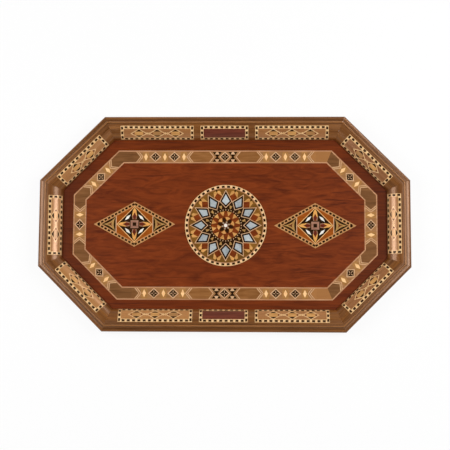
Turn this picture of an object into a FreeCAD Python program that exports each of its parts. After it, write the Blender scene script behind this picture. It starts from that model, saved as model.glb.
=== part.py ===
import FreeCAD, Part
import math
import os

# Octagonal serving tray: a mitred frame with a rounded inner cushion, a veneered floor and inlay.
# Millimetres, +Z up, +X along the tray, origin on the table under the middle.

# overall size
tray_length = 402.0
tray_width = 234.0
corner_leg = 70.0           # each 45 degree corner cuts this much off both sides

# floor build-up, from the table up
board_recess = 3.0          # gap between the table and the board
board_thick = 6.0
inlay_thick = 1.0           # veneer and all floor inlay
floor_top = board_recess + board_thick + inlay_thick

# frame rail section: depths run inwards from the outer face, rises are above the floor
rail_width = 24.6
rabbet_depth = 15.5         # the board and its veneer reach in under the rail to here
board_gap = 0.2
foot_chamfer = 0.6
shoulder_width = 4.5
shoulder_low = 7.6
shoulder_high = 10.2
bead_start = 5.6
bead_radius = 1.0
bead_rise = 10.8
cushion_start = 8.3
cushion_rise = 11.0

# loose splines across the mitres
spline_span = 12.0
spline_near = 5.0           # from the outer corner, along the mitre
spline_far = 13.0
spline_low = 4.0
spline_thick = 2.5

# brads up through the board into the rail lip
brad_depth = 20.0
brad_radius = 0.6
brad_head_radius = 1.2
brad_head_thick = 0.5
brad_bite = 3.0
brad_long = (-100.0, -34.0, 34.0, 100.0)
brad_short = (-15.0, 15.0)

# panels let into the cushion; across sizes follow the curve down from its top edge
panel_thick = 0.8
panel_top = 2.2
panel_bottom = 19.2
panel_band = 3.3
centre_panel_half = 26.0
long_panel_near = 33.5
long_panel_far = 113.3
short_panel_half = 32.4
# how far each short panel was set from the middle of its rail, by hand
panel_slides = {"left": 2.2, "back_left": 1.2, "front_left": -0.9, "front_right": 0.5, "back_right": -0.9}
motif_pitch = 20.0
motif_half_length = 5.1
motif_flat_half = 3.0
motif_half_height = 2.4

# border band in the floor
border_half_length = 165.6
border_half_width = 81.8
border_leg = 49.0
border_width = 14.1
border_centre = (0.6, -0.75)
string_width = 1.3
diamond_half_length = 2.1
diamond_half_height = 4.3
star_half = 4.6
plaque_nose = 4.7           # how far a plaque's point stands out from its shoulders
side_plaque_points = (12.8, 39.0)
long_diamonds = (45.1, 66.0, 86.9)
long_stars = (0.0, 55.5, 76.4)
long_nose = 93.2
short_diamonds = (10.7,)
short_stars = (0.0,)
short_nose = 17.0
hourglass_centre = 8.6
hourglass_half_length = 5.2
hourglass_half_height = 5.4
hourglass_waist = 0.8

# medallion, radii from its centre, which lies a little off the tray's middle
medallion_x = 1.7
medallion_y = -1.5
ring_outer = 44.4
ring_inner = 40.5
kite_count = 12
kite_tip = 39.3
kite_side = 27.2
kite_heel = 19.0
kite_string = 0.7
kite_frame = 2.4            # string and ebony together
square_share = 0.44         # of a kite's long edge
square_top = 36.9
wing_elbow = (3.7, 38.2)
wing_tip = (1.3, 39.0)
star_outer = 15.9
star_inner = 10.3
star_gold_half = 2.6
small_triangle = ((-1.7, 22.0), (1.7, 22.0), (0.0, 19.0))
core_rhomb = ((0.0, 2.7), (2.3, 5.6), (0.0, 9.4), (-2.3, 5.6))
core_wing = ((0.0, 5.2), (2.8, 8.6), (0.0, 9.5), (-2.8, 8.6))
hub_radius = 2.1

# two lozenges, one each side of the medallion
lozenge_centres = ((-97.9, -0.3), (98.9, -1.6))
lozenge_half_length = 44.5
lozenge_half_height = 24.7
lozenge_band = 4.1
cross_near = 19.65
cross_far = 20.55
tip_sag = 2.2
square_string = 0.8
corner_kite = ((0.0, 18.4), (1.9, 14.9), (2.7, 9.6), (2.2, 5.4), (-2.2, 5.4), (-2.7, 9.6), (-1.9, 14.9))
sliver = ((10.5, 4.1), (8.4, 8.4), (4.1, 10.5), (6.3, 6.3))
square_core = 4.3

half_length = tray_length / 2
half_width = tray_width / 2
mitre = math.tan(math.radians(22.5))
inlay_low = floor_top - inlay_thick
up = FreeCAD.Vector(0, 0, 1)
os.makedirs("parts", exist_ok=True)


def vec(x, y, z=0.0):
    return FreeCAD.Vector(x, y, z)


def prism(points, low=None, high=None):
    # upright solid on a flat outline
    low = inlay_low if low is None else low
    high = floor_top if high is None else high
    corners = [vec(x, y, low) for x, y in points]
    face = Part.Face(Part.makePolygon(corners + corners[:1]))
    return face.extrude(vec(0, 0, high - low))


def disc(radius):
    return Part.makeCylinder(radius, inlay_thick, vec(0, 0, inlay_low))


def turned(shape, degrees):
    copy = shape.copy()
    copy.rotate(vec(0, 0), up, degrees)
    return copy


def moved(shape, x, y):
    copy = shape.copy()
    copy.translate(vec(x, y))
    return copy


def cut_all(shape, tools):
    return shape.cut(list(tools)) if tools else shape


def inset(points, distance):
    # outline drawn inwards by an even distance; the points run anticlockwise
    lines = []
    for (x0, y0), (x1, y1) in zip(points, points[1:] + points[:1]):
        length = math.hypot(x1 - x0, y1 - y0)
        nx = -(y1 - y0) / length
        ny = (x1 - x0) / length
        lines.append((nx, ny, nx * x0 + ny * y0 + distance))
    corners = []
    for (a0, b0, c0), (a1, b1, c1) in zip(lines[-1:] + lines[:-1], lines):
        det = a0 * b1 - a1 * b0
        corners.append(((c0 * b1 - c1 * b0) / det, (a0 * c1 - a1 * c0) / det))
    return corners


def octagon(length, width, leg):
    right = [(length, leg - width), (length, width - leg), (length - leg, width)]
    left = [(leg - length, width), (-length, width - leg), (-length, leg - width)]
    return right + left + [(leg - length, -width), (length - leg, -width)]


def polar(radius, degrees):
    # a point this many degrees clockwise from +Y
    turn = math.radians(degrees)
    return (radius * math.sin(turn), radius * math.cos(turn))


def mirrored(points):
    return [(-x, y) for x, y in reversed(points)]


def save(name, solids):
    pieces = []
    for shape in solids:
        pieces.extend(shape.Solids)
    whole = pieces[0] if len(pieces) == 1 else Part.makeCompound(pieces)
    whole.exportStep("parts/" + name + ".step")
    print(name, len(pieces))


# the eight sides: name, turn about Z, half length of an outer edge, middle of that edge
def eight_sides(length, width, leg, centre=(0.0, 0.0)):
    slant = leg / math.sqrt(2)
    x = length - leg / 2
    y = width - leg / 2
    rows = [
        ("front", 0, length - leg, (0, -width)),
        ("front_right", 45, slant, (x, -y)),
        ("right", 90, width - leg, (length, 0)),
        ("back_right", 135, slant, (x, y)),
        ("back", 180, length - leg, (0, width)),
        ("back_left", 225, slant, (-x, y)),
        ("left", 270, width - leg, (-length, 0)),
        ("front_left", 315, slant, (-x, -y)),
    ]
    return [(name, turn, half, (at[0] + centre[0], at[1] + centre[1])) for name, turn, half, at in rows]


def put(shape, side):
    # from side coordinates (x along, y inwards, z up) to the tray
    return moved(turned(shape, side[1]), side[3][0], side[3][1])


sides = eight_sides(half_length, half_width, corner_leg)
long_names = ("front", "back")
end_names = ("left", "right")

# cushion: a quarter of an ellipse from the quirk beside the bead down to the floor
cushion_reach = rail_width - cushion_start


def cushion_point(angle, sink=0.0):
    y = cushion_start + (cushion_reach - sink) * math.cos(angle)
    z = floor_top + (cushion_rise - sink) * math.sin(angle)
    return vec(0, y, z)


def cushion_arc(low, high, sink=0.0):
    centre = vec(0, cushion_start, floor_top)
    ellipse = Part.Ellipse(cushion_point(0, sink), cushion_point(math.pi / 2, sink), centre)
    return Part.ArcOfEllipse(ellipse, low, high).toShape()


def cushion_angle(distance):
    # ellipse angle at a distance along the surface from the top edge
    steps = 4000
    angle = math.pi / 2
    walked = 0.0
    while walked < distance:
        angle -= math.pi / 2 / steps
        across = cushion_reach * math.sin(angle)
        down = cushion_rise * math.cos(angle)
        walked += math.hypot(across, down) * math.pi / 2 / steps
    return angle


def cushion_depth(distance):
    return cushion_point(cushion_angle(distance)).y


def cushion_slab(top, bottom, near, far):
    # curved strip of the inlay that lies in the cushion
    high = cushion_angle(top)
    low = cushion_angle(bottom)
    outer = cushion_arc(low, high)
    inner = cushion_arc(low, high, panel_thick)
    lower = Part.makeLine(cushion_point(low), cushion_point(low, panel_thick))
    upper = Part.makeLine(cushion_point(high), cushion_point(high, panel_thick))
    face = Part.Face(Part.Wire(Part.__sortEdges__([outer, upper, inner, lower])))
    face.translate(vec(near, 0))
    return face.extrude(vec(far - near, 0))


def rail_section():
    bead_mid = bead_start + bead_radius
    bead_end = bead_mid + bead_radius
    low = floor_top + shoulder_low
    high = floor_top + shoulder_high
    bead = floor_top + bead_rise
    shoulder = Part.Ellipse(vec(0, 0, low), vec(0, shoulder_width, high), vec(0, shoulder_width, low))
    bead_top = vec(0, bead_mid, bead + bead_radius)
    bead_arc = Part.Arc(vec(0, bead_start, bead), bead_top, vec(0, bead_end, bead))

    def run(*points):
        return Part.makePolygon([vec(0, y, z) for y, z in points]).Edges

    edges = run((rabbet_depth, 0), (foot_chamfer, 0), (0, foot_chamfer), (0, low))
    edges.append(Part.ArcOfEllipse(shoulder, 0, math.pi / 2).toShape())
    edges += run((shoulder_width, high), (bead_start, high), (bead_start, bead))
    edges.append(bead_arc.toShape())
    edges += run((bead_end, bead), (cushion_start, bead), (cushion_start, floor_top + cushion_rise))
    edges.append(cushion_arc(0, math.pi / 2))
    edges += run((rail_width, floor_top), (rabbet_depth, floor_top), (rabbet_depth, 0))
    return Part.Face(Part.Wire(Part.__sortEdges__(edges)))


def mitred(half, start, depth, low, high):
    # block between the two mitre planes of a side
    outline = [
        (-half + start * mitre, start),
        (half - start * mitre, start),
        (half - depth * mitre, depth),
        (-half + depth * mitre, depth),
    ]
    return prism(outline, low, high)


def panel_spans(name):
    if name in long_names:
        far = (long_panel_near, long_panel_far)
        return [(-far[1], -far[0]), (-centre_panel_half, centre_panel_half), far]
    slide = panel_slides.get(name, 0.0)
    return [(slide - short_panel_half, slide + short_panel_half)]


def brad_places(name):
    return brad_long if name in long_names else brad_short


def brad(along):
    top = floor_top + brad_bite
    head = Part.makeCylinder(brad_head_radius, brad_head_thick, vec(along, brad_depth, board_recess))
    shank_low = board_recess + brad_head_thick
    shank = Part.makeCylinder(brad_radius, top - shank_low, vec(along, brad_depth, shank_low))
    return head.fuse(shank).removeSplitter()


splines = []
for x, y in octagon(half_length, half_width, corner_leg):
    # the mitre halves the corner between a straight side and a slanted one
    ends = half_length - abs(x) < 0.01
    heading = math.radians(22.5 if ends else 67.5)
    inwards = math.atan2(-math.copysign(math.sin(heading), y), -math.copysign(math.cos(heading), x))
    block = Part.makeBox(spline_far - spline_near, spline_span, spline_thick)
    block.translate(vec(spline_near, -spline_span / 2, spline_low))
    splines.append(moved(turned(block, math.degrees(inwards)), x, y))

brads = []
for side in sides:
    brads += [put(brad(along), side) for along in brad_places(side[0])]

# frame rails with their panels
panels = {"long": [], "centre": [], "corner": [], "end": []}
bands = {"long": [], "centre": [], "corner": [], "end": []}
motifs = []
for side in sides:
    name, turn, half, middle = side
    bar = rail_section()
    bar.translate(vec(-half - 5, 0))
    bar = bar.extrude(vec(2 * half + 10, 0))
    rail = bar.common(mitred(half, -1.0, rail_width + 1.0, -1.0, floor_top + 20.0))
    for index, (near, far) in enumerate(panel_spans(name)):
        kind = "corner"
        if name in end_names:
            kind = "end"
        if name in long_names:
            kind = "centre" if index == 1 else "long"
        rail = rail.cut(cushion_slab(panel_top, panel_bottom, near, far))
        upper = panel_top + panel_band
        lower = panel_bottom - panel_band
        strips = [
            cushion_slab(panel_top, upper, near, far),
            cushion_slab(lower, panel_bottom, near, far),
            cushion_slab(upper, lower, near, near + panel_band),
            cushion_slab(upper, lower, far - panel_band, far),
        ]
        panel = cushion_slab(upper, lower, near + panel_band, far - panel_band)
        if kind != "centre":
            middle_x = (near + far) / 2
            pitches = (-1, 0, 1) if kind == "long" else (-0.5, 0.5)
            across = (panel_top + panel_bottom) / 2
            top_y = cushion_depth(across - motif_half_height)
            mid_y = cushion_depth(across)
            low_y = cushion_depth(across + motif_half_height)
            for pitch in pitches:
                x = middle_x + pitch * motif_pitch
                outline = [(x - motif_half_length, mid_y), (x - motif_flat_half, top_y)]
                outline += [(x + motif_flat_half, top_y), (x + motif_half_length, mid_y)]
                outline += [(x + motif_flat_half, low_y), (x - motif_flat_half, low_y)]
                hexagon = prism(outline, floor_top, floor_top + 20.0)
                motifs.append(put(panel.common(hexagon), side))
                panel = panel.cut(hexagon)
        panels[kind].append(put(panel, side))
        bands[kind] += [put(strip, side) for strip in strips]
    rail = put(rail, side)
    near_splines = [s for s in splines if s.distToShape(rail)[0] < 0.01]
    rail = cut_all(rail, near_splines)
    rail = cut_all(rail, [put(brad(along), side) for along in brad_places(name)])
    save("rail_" + name, [rail])

save("mitre_splines", splines)
save("base_brads", brads)
for kind in panels:
    save(kind + "_panels", panels[kind])
    save(kind + "_panel_bands", bands[kind])
save("panel_hexagons", motifs)

# board and floor veneer
board_inset = rabbet_depth + board_gap
board_leg = corner_leg - board_inset * (2 - math.sqrt(2))
board_outline = octagon(half_length - board_inset, half_width - board_inset, board_leg)
save("base_board", [cut_all(prism(board_outline, board_recess, inlay_low), brads)])

border_outer = octagon(border_half_length, border_half_width, border_leg)
border_inner = inset(border_outer, border_width)
margin = prism(board_outline).cut(moved(prism(border_outer), *border_centre))
save("margin_veneer", [cut_all(margin, brads)])

# border bands, strings, plaques and tiles
grounds = {"long": [], "corner": [], "end": []}
outer_strings = []
inner_strings = []
corner_plaques = []
side_plaques = []
diamonds = []
stars = []
hourglasses = []
mid = border_width / 2
first = string_width
last = border_width - string_width
for side in eight_sides(border_half_length, border_half_width, border_leg, border_centre):
    name, turn, half, middle = side
    is_long = name in long_names
    outer_strings.append(put(mitred(half, 0.0, first, inlay_low, floor_top), side))
    inner_strings.append(put(mitred(half, last, border_width, inlay_low, floor_top), side))
    nose = long_nose if is_long else short_nose
    plaque = [(nose, mid), (nose + plaque_nose, first), (half - first * mitre, first)]
    plaque += [(half - last * mitre, last), (nose + plaque_nose, last)]
    plaque_pair = [prism(plaque), prism(mirrored(plaque))]
    tiles = []
    star_tiles = []
    for x in (long_diamonds if is_long else short_diamonds):
        tile = [(x - diamond_half_length, mid), (x, mid - diamond_half_height)]
        tile += [(x + diamond_half_length, mid), (x, mid + diamond_half_height)]
        tiles += [prism(tile), prism(mirrored(tile))]
    for x in (long_stars if is_long else short_stars):
        tile = [(x - star_half, mid), (x, mid - star_half), (x + star_half, mid), (x, mid + star_half)]
        star_tiles.append(prism(tile))
        if x > 0:
            star_tiles.append(prism(mirrored(tile)))
    inlays = plaque_pair + tiles + star_tiles
    if is_long:
        near, far = side_plaque_points
        tile = [(near, mid), (near + plaque_nose, first), (far - plaque_nose, first)]
        tile += [(far, mid), (far - plaque_nose, last), (near + plaque_nose, last)]
        pair = [prism(tile), prism(mirrored(tile))]
        low_y = mid - hourglass_half_height
        high_y = mid + hourglass_half_height
        x0 = hourglass_centre - hourglass_half_length
        x1 = hourglass_centre + hourglass_half_length
        tile = [(x0, low_y), (x1, low_y), (hourglass_centre + hourglass_waist, mid), (x1, high_y)]
        tile += [(x0, high_y), (hourglass_centre - hourglass_waist, mid)]
        glasses = [prism(tile), prism(mirrored(tile))]
        side_plaques += [put(piece, side) for piece in pair]
        hourglasses += [put(piece, side) for piece in glasses]
        inlays += pair + glasses
    kind = "long" if is_long else "end" if name in end_names else "corner"
    ground = cut_all(mitred(half, first, last, inlay_low, floor_top), inlays)
    grounds[kind].append(put(ground, side))
    corner_plaques += [put(piece, side) for piece in plaque_pair]
    diamonds += [put(piece, side) for piece in tiles]
    stars += [put(piece, side) for piece in star_tiles]

for kind in grounds:
    save("border_" + kind + "_bands", grounds[kind])
save("border_outer_strings", outer_strings)
save("border_inner_strings", inner_strings)
save("corner_plaques", corner_plaques)
save("side_plaques", side_plaques)
save("border_diamonds", diamonds)
save("border_stars", stars)
save("border_hourglasses", hourglasses)


# medallion: a pattern in one sector, repeated round the centre
def ring_of(shape, start=0.0, count=kite_count):
    return [turned(shape, start + 360.0 * k / count) for k in range(count)]


sector = 360.0 / kite_count
kite = [(0.0, kite_tip), polar(kite_side, -sector / 2), (0.0, kite_heel), polar(kite_side, sector / 2)]
kite_solid = prism(kite)
kite_inner = prism(inset(kite, kite_string))
kite_pearl = prism(inset(kite, kite_frame))

# the gap between two kites, with +Y down its middle
tip_right = polar(kite_tip, sector / 2)
corner_x = square_share * tip_right[0]
corner_y = kite_side + square_share * (tip_right[1] - kite_side)
red_square = prism([(0, kite_side), (corner_x, corner_y), (0, square_top), (-corner_x, corner_y)])
wing_outline = [(0, square_top), (corner_x, corner_y), wing_elbow, wing_tip]
wing_pair = [prism(wing_outline), prism(mirrored(wing_outline))]
heel_right = polar(kite_heel, sector / 2)
star_right = polar(star_outer, sector / 2)
ebony_outline = [(0, kite_side), heel_right, star_right]
ebony_outline += [(-star_right[0], star_right[1]), (-heel_right[0], heel_right[1])]
triangle = prism(small_triangle)
ebony = prism(ebony_outline).cut(triangle)
flat = star_right[1]
gold_outline = [(-star_gold_half, flat), (0, star_inner), (star_gold_half, flat)]
gold_point = prism(gold_outline)
# a red point fills from one gold triangle to the next, about a kite's own middle line
half_turn = math.radians(sector / 2)
gold_corner = (
    flat * math.sin(half_turn) - star_gold_half * math.cos(half_turn),
    flat * math.cos(half_turn) + star_gold_half * math.sin(half_turn),
)
red_outline = [(0, star_outer), gold_corner, polar(star_inner, sector / 2)]
red_outline += [polar(star_inner, -sector / 2), (-gold_corner[0], gold_corner[1])]
red_point = prism(red_outline)

mid_turn = sector / 2
kites = ring_of(kite_solid)
squares = ring_of(red_square, mid_turn)
wings = ring_of(wing_pair[0], mid_turn) + ring_of(wing_pair[1], mid_turn)
inner_field = []
for k in range(kite_count):
    inner_field += [polar(kite_heel, k * sector), polar(kite_side, k * sector + sector / 2)]
ground = disc(ring_inner).cut(prism(inner_field))
ground = cut_all(ground, kites + squares + wings)
core_outline = [polar(star_inner, k * sector + sector / 2) for k in range(kite_count)]
hub = prism([polar(hub_radius, 60 * k) for k in range(6)])
rhombs = ring_of(prism(core_rhomb), mid_turn, 6)
core_wings = ring_of(prism(core_wing), -mid_turn, 6)
core = cut_all(prism(core_outline), [hub] + rhombs + core_wings)

medallion = {
    "medallion_ring": [disc(ring_outer).cut(disc(ring_inner))],
    "kite_strings": ring_of(kite_solid.cut(kite_inner)),
    "kite_frames": ring_of(kite_inner.cut(kite_pearl)),
    "kite_pearls": ring_of(kite_pearl),
    "medallion_squares": squares,
    "medallion_wings": wings,
    "medallion_ground": [ground],
    "medallion_ebony": ring_of(ebony, mid_turn),
    "medallion_triangles": ring_of(triangle, mid_turn),
    "star_gold_points": ring_of(gold_point, mid_turn),
    "star_red_points": ring_of(red_point),
    "core_rhombs": rhombs,
    "core_wings": core_wings,
    "core_ground": [core],
    "medallion_hub": [hub],
}
for name, shapes in medallion.items():
    save(name, [moved(shape, medallion_x, medallion_y) for shape in shapes])


# lozenges
def both(shapes):
    placed = []
    for x, y in lozenge_centres:
        placed += [moved(shape, x, y) for shape in shapes]
    return placed


def four(points):
    # the outline and its three mirror images
    right = list(points)
    left = mirrored(right)
    under = [[(x, -y) for x, y in reversed(row)] for row in (right, left)]
    return [prism(row) for row in [right, left] + under]


def diamond(length, height):
    return [(length, 0), (0, height), (-length, 0), (0, -height)]


def lens(start, end, sag):
    # sliver between a straight side and a shallow arc on its left
    length = math.hypot(end[0] - start[0], end[1] - start[1])
    nx = -(end[1] - start[1]) / length
    ny = (end[0] - start[0]) / length
    bulge = vec((start[0] + end[0]) / 2 + nx * sag, (start[1] + end[1]) / 2 + ny * sag, inlay_low)
    a = vec(start[0], start[1], inlay_low)
    b = vec(end[0], end[1], inlay_low)
    wire = Part.Wire([Part.makeLine(a, b), Part.Arc(b, bulge, a).toShape()])
    return Part.Face(wire).extrude(vec(0, 0, inlay_thick))


lozenge = diamond(lozenge_half_length, lozenge_half_height)
inner_lozenge = inset(lozenge, lozenge_band)
inner_length = inner_lozenge[0][0]
inner_height = inner_lozenge[1][1]
strip = [lozenge[0], lozenge[1], inner_lozenge[1], inner_lozenge[0]]


def lozenge_rise(x):
    return inner_height * (1 - x / inner_length)


near_y = lozenge_rise(cross_near)
far_y = lozenge_rise(cross_far)
cross = [(cross_near, -near_y), (cross_far, -far_y), (cross_far, far_y), (cross_near, near_y)]
rust = [(cross_near, 0), (cross_near, near_y), (0, inner_height)]
tip_corners = [(cross_far, -far_y), (inner_length, 0), (cross_far, far_y)]
slivers = [lens(a, b, tip_sag) for a, b in zip(tip_corners, tip_corners[1:] + tip_corners[:1])]
tip_star = cut_all(prism(tip_corners), slivers)
square = diamond(cross_near, inner_height)
square_inner = inset(square, square_string)
string_strip = [square[0], square[1], square_inner[1], square_inner[0]]
centre = prism([(square_core, -square_core), (square_core, square_core),
                (-square_core, square_core), (-square_core, -square_core)])
corner_kites = [turned(prism(corner_kite), 90 * k) for k in range(4)]
white_slivers = four(sliver)
square_ground = cut_all(prism(square_inner), corner_kites + white_slivers + [centre])

save("lozenge_bands", both(four(strip)))
save("lozenge_cross_strings", both([prism(cross), prism(mirrored(cross))]))
save("lozenge_rust_panels", both(four(rust)))
save("lozenge_tip_slivers", both(slivers + [turned(piece, 180) for piece in slivers]))
save("lozenge_tip_stars", both([tip_star, turned(tip_star, 180)]))
save("square_strings", both(four(string_strip)))
save("square_grounds", both([square_ground]))
save("square_corner_kites", both(corner_kites))
save("square_slivers", both(white_slivers))
save("square_centres", both([centre]))

field = moved(prism(border_inner), *border_centre)
field = field.cut(moved(disc(ring_outer), medallion_x, medallion_y))
field = cut_all(field, both([prism(lozenge)]))
save("field_veneer", [field])
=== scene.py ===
import bpy
import bmesh
import math
import random
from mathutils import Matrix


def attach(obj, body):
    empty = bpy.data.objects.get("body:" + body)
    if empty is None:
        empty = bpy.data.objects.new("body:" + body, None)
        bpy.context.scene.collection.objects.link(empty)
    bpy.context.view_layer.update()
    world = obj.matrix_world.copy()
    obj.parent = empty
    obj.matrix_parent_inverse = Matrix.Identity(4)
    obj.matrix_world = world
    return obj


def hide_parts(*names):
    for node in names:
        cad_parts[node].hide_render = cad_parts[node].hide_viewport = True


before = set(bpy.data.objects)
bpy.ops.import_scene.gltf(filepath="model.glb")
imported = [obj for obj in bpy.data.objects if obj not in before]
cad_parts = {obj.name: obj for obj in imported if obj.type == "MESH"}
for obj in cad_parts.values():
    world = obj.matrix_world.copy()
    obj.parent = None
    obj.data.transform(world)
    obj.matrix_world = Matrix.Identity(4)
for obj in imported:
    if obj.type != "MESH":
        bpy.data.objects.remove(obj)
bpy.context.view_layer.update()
scene = bpy.context.scene
mm = 0.001
white = (1.0, 1.0, 1.0, 1.0)
medallionCentre = (1.7, -1.5)  # mm, on the floor of the tray
print("tray frame loaded:", len(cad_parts), "nodes")


def mathOf(operation, swap=False):
    def added(flow, value):
        return flow.math(operation, value, swap)
    return added


# one socket of a node tree; sums and products of flows add Math nodes
class Flow:
    __add__, __radd__ = mathOf("ADD"), mathOf("ADD", True)
    __sub__, __rsub__ = mathOf("SUBTRACT"), mathOf("SUBTRACT", True)
    __mul__, __rmul__ = mathOf("MULTIPLY"), mathOf("MULTIPLY", True)
    __truediv__, __rtruediv__ = mathOf("DIVIDE"), mathOf("DIVIDE", True)
    __gt__, __lt__ = mathOf("GREATER_THAN"), mathOf("LESS_THAN")  # each is the other's reflected form

    def __init__(self, tree, socket=None):
        self.tree = tree
        self.socket = socket

    def node(self, kind, settings=None, inputs=None, out=0):
        made = self.tree.nodes.new(kind)
        for key, value in (settings or {}).items():
            setattr(made, key, value)
        for key, value in (inputs or {}).items():
            if isinstance(value, Flow):
                self.tree.links.new(value.socket, made.inputs[key])
            else:
                made.inputs[key].default_value = value
        return Flow(self.tree, made.outputs[out] if len(made.outputs) else None)

    def other(self, out):
        return Flow(self.tree, self.socket.node.outputs[out])

    def math(self, operation, value=0.0, swap=False):
        pair = (value, self) if swap else (self, value)
        return self.node("ShaderNodeMath", {"operation": operation}, {0: pair[0], 1: pair[1]})


def level(value, low, high):  # 0 at low, 1 at high
    return value.node("ShaderNodeMapRange", {"clamp": True}, {
        "Value": value, "From Min": low, "From Max": high})


def mixed(share, first, second):
    return share.node("ShaderNodeMix", {"data_type": "RGBA"}, {0: share, 6: first, 7: second}, 2)


def varied(colour, shade, spread):  # lighter or darker by up to the spread
    amount = (shade - 0.5) * (2 * spread) + 1.0
    return colour.node("ShaderNodeVectorMath", {"operation": "SCALE"}, {0: colour, "Scale": amount})


def split(flow):  # gives X; other() gives Y and Z
    return flow.node("ShaderNodeSeparateXYZ", {}, {"Vector": flow})


def mapped(coords, **places):
    return coords.node("ShaderNodeMapping", {}, {"Vector": coords, **places})


def noisy(place, detail, rough, wave):
    return place.node("ShaderNodeTexNoise", {}, {
        "Vector": place, "Scale": 1.0, "Detail": detail, "Roughness": rough, "Distortion": wave})


def drawn(slot):  # a random value for each whole number
    return slot.node("ShaderNodeTexWhiteNoise", {"noise_dimensions": "1D"}, {"W": slot})


def painted(start, name):  # a value carried by the points of the mesh
    return start.node("ShaderNodeAttribute", {"attribute_name": name}, {}, "Fac")


def onObject(start):
    return start.node("ShaderNodeTexCoord", {}, {}, "Object")


def tint(red, green, blue):  # a colour as a paint card gives it
    def lin(part):
        part /= 255
        return part / 12.92 if part <= 0.04045 else ((part + 0.055) / 1.055) ** 2.4
    return (lin(red), lin(green), lin(blue), 1.0)


def newFinish(name):
    finish = bpy.data.materials.new(name)
    finish.use_nodes = True
    finish.node_tree.nodes.clear()
    return finish, Flow(finish.node_tree)


# thin lacquer over every wood and shell, unless its look says otherwise
lacquer = {"bump": 0.15, "bumpDepth": 0.00004, "coat": 0.05, "coatRough": 0.16, "index": 1.5, "shine": 0.08,
           "gloss": white}


def closeFinish(start, look, colour, rough, height):
    look = {**lacquer, **look}
    bump = start.node("ShaderNodeBump", {}, {
        "Strength": look["bump"], "Distance": look["bumpDepth"], "Height": height})
    shader = start.node("ShaderNodeBsdfPrincipled", {}, {
        "Base Color": colour, "Roughness": rough, "Normal": bump,
        "Coat Weight": look["coat"], "Coat Roughness": look["coatRough"],
        "IOR": look["index"], "Specular IOR Level": look["shine"], "Specular Tint": look["gloss"]})
    start.node("ShaderNodeOutputMaterial", {}, {"Surface": shader})


# tones that change from one inlaid piece to the next
tonePlan = {"firstSlot": 50.0, "cellStep": (7.13, 3.71)}


def sliceTone(coords, count, turn):  # one random tone for each slice round the medallion
    x = split(mapped(coords, Location=(-medallionCentre[0] * mm, -medallionCentre[1] * mm, 0.0)))
    angle = x.math("ARCTAN2", x.other("Y"))
    return drawn((angle * (count / math.tau) + (turn + tonePlan["firstSlot"])).math("FLOOR"))


def cellTone(coords, pitch, seed):  # one random tone for each cell of a grid
    x = split(coords)
    column = (x / (pitch[0] * mm) + 0.5).math("FLOOR")
    row = (x.other("Y") / (pitch[1] * mm) + 0.5).math("FLOOR")
    columnStep, rowStep = tonePlan["cellStep"]
    return drawn(column * columnStep + row * rowStep + seed)


def cornerTone(coords, look):  # 1 on the plaque halves of the long sides at the +X end
    x = split(coords)
    footX, footY = look["mitreFoot"]
    rise = (x.other("Y") - look["centreY"] * mm).math("ABSOLUTE")
    return (x < (rise - footY * mm) * look["mitreSlope"] + footX * mm) * (x > 0.0)


def paintedEndShade(coords, low, high):  # painted shade: 0 along the middle of the tray, 1 near its two ends
    return level(split(coords).math("ABSOLUTE"), low * mm, high * mm)


# layers of a wood's grain: the place, detail and used range of each noise
grainPlan = {
    "figure": {"shift": 0.0, "detail": 3.0, "range": (0.3, 0.7)},
    "fibre": {"shift": 5.3, "detail": 2.0, "range": (0.25, 0.75)},
    "streak": {"shift": 9.1, "detail": 3.0, "range": (0.56, 0.74)},
    "pores": {"shift": 13.7, "detail": 1.0, "range": (0.62, 0.7)}}
grainSeed = (3.71, 1.93, 0.77)
woodDefaults = {
    "figure": (50, 5), "wave": 0.4, "fibre": (14, 0.5), "fibres": 0.35, "streakSize": (90, 4),
    "streakWave": 0.8, "streaks": 0.6, "poreSize": (4, 0.3), "noiseRough": 0.55, "rough": 0.42,
    "roughSpread": 0.12, "start": 0.0}


def woodFinish(name, look):
    finish, start = newFinish(name)
    look = {**woodDefaults, **look}
    seed = look["seed"]
    if look.get("along") == "uv":
        base = start.node("ShaderNodeUVMap", {"uv_map": "grain"})
    else:
        base = onObject(start)
    coords = base
    if "turn" in look:
        coords = mapped(base, Rotation=(0, 0, math.radians(look["turn"])))

    def grain(layer, size, wave=0.0):  # size in mm along and across the grain
        plan = grainPlan[layer]
        x, y, z = [seed * step for step in grainSeed]
        place = mapped(coords, Location=(x + plan["shift"], y - plan["shift"], z),
                       Scale=(1 / (size[0] * mm), 1 / (size[1] * mm), 1 / (size[1] * mm)))
        return level(noisy(place, plan["detail"], look["noiseRough"], wave), *plan["range"])

    fibre = grain("fibre", look["fibre"])
    height = fibre
    colour = mixed(grain("figure", look["figure"], look["wave"]), tint(*look["deep"]), tint(*look["bright"]))
    if "streak" in look:
        streak = grain("streak", look["streakSize"], look["streakWave"]) * look["streaks"]
        colour = mixed(streak, colour, tint(*look["streak"]))
    colour = mixed((1.0 - fibre) * look["fibres"], colour, tint(*look["pore"]))
    if "pores" in look:
        pores = grain("pores", look["poreSize"])
        colour = mixed(pores * look["pores"], colour, tint(*look["pore"]))
        height = fibre - pores
    tone = look.get("tone")
    # the tone carried by the points: painted groove shade on the rails, painted light of each side on the
    # panel faces, a random tone on the hexagons
    if tone == "piece":
        colour = mixed(painted(start, "tone"), colour, tint(*look["second"]))
    # painted shade on the margin near the end rails
    if tone == "ends":
        colour = mixed(paintedEndShade(base, *look["ends"]) * look["lift"], colour, tint(*look["second"]))
    if tone == "corner":
        colour = mixed(cornerTone(base, look) * look["lift"], colour, tint(*look["second"]))
    if tone in ("cell", "corner"):
        colour = varied(colour, cellTone(base, look["pitch"], seed), look["spread"])
    if tone == "slice":
        colour = varied(colour, sliceTone(base, look["count"], look["start"]), look["spread"])
    # painted highlight along the top of the bead, carried by the points
    if "crest" in look:
        colour = mixed(painted(start, "crest"), colour, tint(*look["crest"]))
    rough = look["rough"] + (1.0 - fibre) * look["roughSpread"]
    closeFinish(start, look, colour, rough, height)
    return finish


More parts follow.
